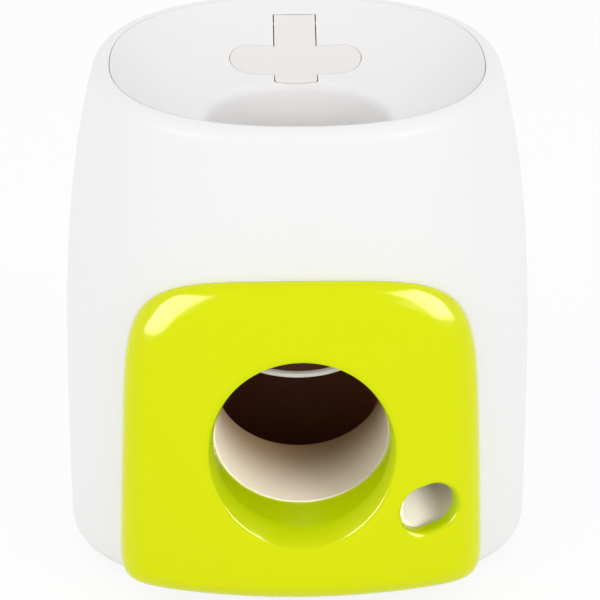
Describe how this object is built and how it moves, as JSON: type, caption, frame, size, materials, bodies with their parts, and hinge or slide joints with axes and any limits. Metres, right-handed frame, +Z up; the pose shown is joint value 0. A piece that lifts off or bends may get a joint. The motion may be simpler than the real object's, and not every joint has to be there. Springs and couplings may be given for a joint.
{
  "type": "automatic ball launcher",
  "caption": "Gravity-fed pet ball dispenser: a round-cornered white housing with a top ball dish and treat hatch, and a lime front panel with a ball outlet and a treat outlet.",
  "frame": {"origin": "on the floor under the middle of the whole object's box", "axes": "+Z up, the front panel faces -Y, +X to the right seen from the front"},
  "size_m": [0.223, 0.2016, 0.2461],
  "materials": {
    "white_shell": "smooth moulded, semi-gloss",
    "white_dish": "smooth moulded, satin",
    "white_lid": "smooth moulded, slightly warm",
    "lime_panel": "glossy moulded, coloured through",
    "white_tube": "satin moulded",
    "white_inside": "plain moulded",
    "white_base": "fine moulded texture",
    "dark_chamber": "dull dark brown",
    "grey_mechanism": "plain moulded acetal",
    "soft_lip": "soft, dull",
    "foot_rubber": "dull",
    "steel": "plain turned"
  },
  "bodies": {
    "housing": {"outer_shell": "white_shell", "top_funnel": "white_dish", "hatch_hinge_pin": "steel", "front_panel": "lime_panel", "panel_screws": "steel", "outlet_tube": "white_tube", "drop_tube": "white_tube", "ball_chamber": "dark_chamber", "chamber_screws": "steel", "paddle_bushes": "grey_mechanism", "mechanism_frame": "grey_mechanism", "frame_screws": "steel", "treat_hopper": "white_inside", "hopper_screws": "steel", "drum_cover": "white_inside", "cover_screws": "steel", "drum_bushes": "grey_mechanism", "treat_chute": "white_tube", "path_screws": "steel", "base_plate": "white_base", "base_screws": "steel", "rubber_feet": "foot_rubber"},
    "hatch": {"hatch_lid": "white_lid"},
    "trigger": {"ball_paddle": "dark_chamber", "paddle_lip": "soft_lip", "counterweight": "steel", "paddle_shaft": "steel", "paddle_clips": "steel", "sector_gear": "grey_mechanism"},
    "drum": {"metering_drum": "white_inside", "drum_shaft": "steel", "drum_clips": "steel", "drum_pinion": "grey_mechanism"}
  },
  "joints": [
    {"name": "hatch_hinge", "type": "hinge", "parent": "housing", "child": "hatch", "pos_m": [0, 0.07678, 0.23487], "axis": [-1, 0, 0], "range_deg": [0, 100]},
    {"name": "trigger_swing", "type": "hinge", "parent": "housing", "child": "trigger", "pos_m": [0, 0.03668, 0.104], "axis": [1, 0, 0], "range_deg": [0, 30]},
    {"name": "drum_turn", "type": "hinge", "parent": "housing", "child": "drum", "pos_m": [0, 0.05648, 0.15424], "axis": [1, 0, 0], "range_deg": [-150, 0]}
  ],
  "couplings": [
    {"joint": "drum_turn", "follows": "trigger_swing", "ratio": -5}
  ]
}
